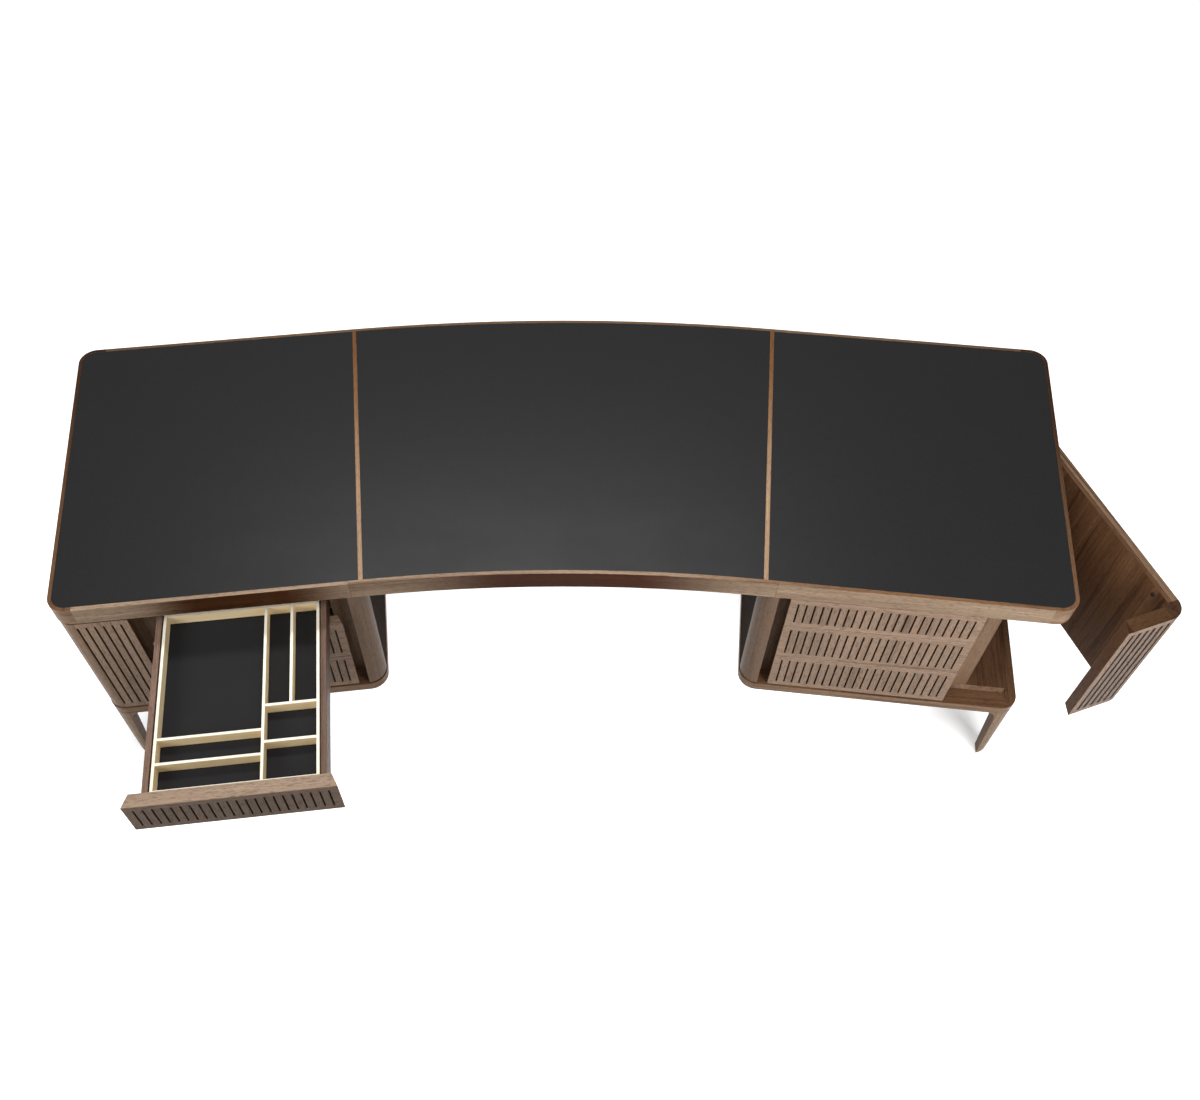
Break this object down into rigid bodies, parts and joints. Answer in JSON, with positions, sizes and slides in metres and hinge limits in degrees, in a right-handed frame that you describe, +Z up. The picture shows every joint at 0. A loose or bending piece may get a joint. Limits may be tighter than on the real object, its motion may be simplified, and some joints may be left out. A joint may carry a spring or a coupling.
{
  "type": "curved executive desk",
  "caption": "Curved walnut desk with a leather-inlaid top on two pedestals of slotted drawers, with an L-shaped side door on each pedestal and a fitted organiser tray.",
  "frame": {"origin": "on the floor, in the plane of symmetry, under the middle of the top's depth", "axes": "+X to the seated user's right, +Y to the back, +Z up"},
  "size_m": [2.8791, 1.4779, 0.76],
  "materials": {
    "walnut": "open-pore satin walnut",
    "black_leather": "fine-grained black hide",
    "maple": "pale satin maple",
    "black_liner": "matt black lining",
    "steel": "zinc-plated"
  },
  "bodies": {
    "desk": {"top_core": "walnut", "edge_front": "walnut", "edge_back": "walnut", "edge_ends": "walnut", "divider_strips": "walnut", "leather_left": "black_leather", "leather_centre": "black_leather", "leather_right": "black_leather", "cabinet_rails": "steel", "pivot_pins": "steel", "left_base_frame": "walnut", "left_legs": "walnut", "left_floor_panel": "walnut", "left_inner_wall": "walnut", "left_partition": "walnut", "left_back_panel": "walnut", "left_rear_side_panel": "walnut", "left_corner_posts": "walnut", "left_inner_cladding": "black_leather", "right_base_frame": "walnut", "right_legs": "walnut", "right_floor_panel": "walnut", "right_inner_wall": "walnut", "right_partition": "walnut", "right_back_panel": "walnut", "right_rear_side_panel": "walnut", "right_corner_posts": "walnut", "right_inner_cladding": "black_leather"},
    "left_bottom_drawer": {"left_bottom_front": "walnut", "left_bottom_box": "walnut", "left_bottom_drawer_rails": "steel"},
    "left_bottom_mid_runner": {"left_bottom_mid_rails": "steel"},
    "left_middle_drawer": {"left_middle_front": "walnut", "left_middle_box": "walnut", "left_middle_drawer_rails": "steel"},
    "left_middle_mid_runner": {"left_middle_mid_rails": "steel"},
    "left_top_drawer": {"left_top_front": "walnut", "left_top_box": "walnut", "left_top_drawer_rails": "steel", "organiser_tray": "maple", "tray_liner": "black_liner"},
    "left_top_mid_runner": {"left_top_mid_rails": "steel"},
    "left_door": {"left_door_side": "walnut", "left_door_corner": "walnut", "left_door_front": "walnut"},
    "right_bottom_drawer": {"right_bottom_front": "walnut", "right_bottom_box": "walnut", "right_bottom_drawer_rails": "steel"},
    "right_bottom_mid_runner": {"right_bottom_mid_rails": "steel"},
    "right_middle_drawer": {"right_middle_front": "walnut", "right_middle_box": "walnut", "right_middle_drawer_rails": "steel"},
    "right_middle_mid_runner": {"right_middle_mid_rails": "steel"},
    "right_top_drawer": {"right_top_front": "walnut", "right_top_box": "walnut", "right_top_drawer_rails": "steel"},
    "right_top_mid_runner": {"right_top_mid_rails": "steel"},
    "right_door": {"right_door_side": "walnut", "right_door_corner": "walnut", "right_door_front": "walnut"}
  },
  "joints": [
    {"name": "left_bottom_slide", "type": "slide", "parent": "desk", "child": "left_bottom_drawer", "axis": [0.1158, -0.9933, 0], "range_m": [0, 0.504]},
    {"name": "left_bottom_mid_slide", "type": "slide", "parent": "desk", "child": "left_bottom_mid_runner", "axis": [0.1158, -0.9933, 0], "range_m": [0, 0.252]},
    {"name": "left_middle_slide", "type": "slide", "parent": "desk", "child": "left_middle_drawer", "axis": [0.1158, -0.9933, 0], "range_m": [0, 0.504]},
    {"name": "left_middle_mid_slide", "type": "slide", "parent": "desk", "child": "left_middle_mid_runner", "axis": [0.1158, -0.9933, 0], "range_m": [0, 0.252]},
    {"name": "left_top_slide", "type": "slide", "parent": "desk", "child": "left_top_drawer", "axis": [0.1158, -0.9933, 0], "range_m": [-0.504, 0]},
    {"name": "left_top_mid_slide", "type": "slide", "parent": "desk", "child": "left_top_mid_runner", "axis": [0.1158, -0.9933, 0], "range_m": [-0.252, 0]},
    {"name": "left_door_hinge", "type": "hinge", "parent": "desk", "child": "left_door", "pos_m": [-1.30979, 0.09718, 0.28], "axis": [0, 0, -1], "range_deg": [0, 95]},
    {"name": "right_bottom_slide", "type": "slide", "parent": "desk", "child": "right_bottom_drawer", "axis": [-0.1158, -0.9933, 0], "range_m": [0, 0.504]},
    {"name": "right_bottom_mid_slide", "type": "slide", "parent": "desk", "child": "right_bottom_mid_runner", "axis": [-0.1158, -0.9933, 0], "range_m": [0, 0.252]},
    {"name": "right_middle_slide", "type": "slide", "parent": "desk", "child": "right_middle_drawer", "axis": [-0.1158, -0.9933, 0], "range_m": [0, 0.504]},
    {"name": "right_middle_mid_slide", "type": "slide", "parent": "desk", "child": "right_middle_mid_runner", "axis": [-0.1158, -0.9933, 0], "range_m": [0, 0.252]},
    {"name": "right_top_slide", "type": "slide", "parent": "desk", "child": "right_top_drawer", "axis": [-0.1158, -0.9933, 0], "range_m": [0, 0.504]},
    {"name": "right_top_mid_slide", "type": "slide", "parent": "desk", "child": "right_top_mid_runner", "axis": [-0.1158, -0.9933, 0], "range_m": [0, 0.252]},
    {"name": "right_door_hinge", "type": "hinge", "parent": "desk", "child": "right_door", "pos_m": [1.30979, 0.09718, 0.28], "axis": [0, 0, 1], "range_deg": [-26.3, 68.7]}
  ],
  "couplings": [
    {"joint": "left_bottom_mid_slide", "follows": "left_bottom_slide", "ratio": 0.5},
    {"joint": "left_middle_mid_slide", "follows": "left_middle_slide", "ratio": 0.5},
    {"joint": "left_top_mid_slide", "follows": "left_top_slide", "ratio": 0.5},
    {"joint": "right_bottom_mid_slide", "follows": "right_bottom_slide", "ratio": 0.5},
    {"joint": "right_middle_mid_slide", "follows": "right_middle_slide", "ratio": 0.5},
    {"joint": "right_top_mid_slide", "follows": "right_top_slide", "ratio": 0.5}
  ]
}
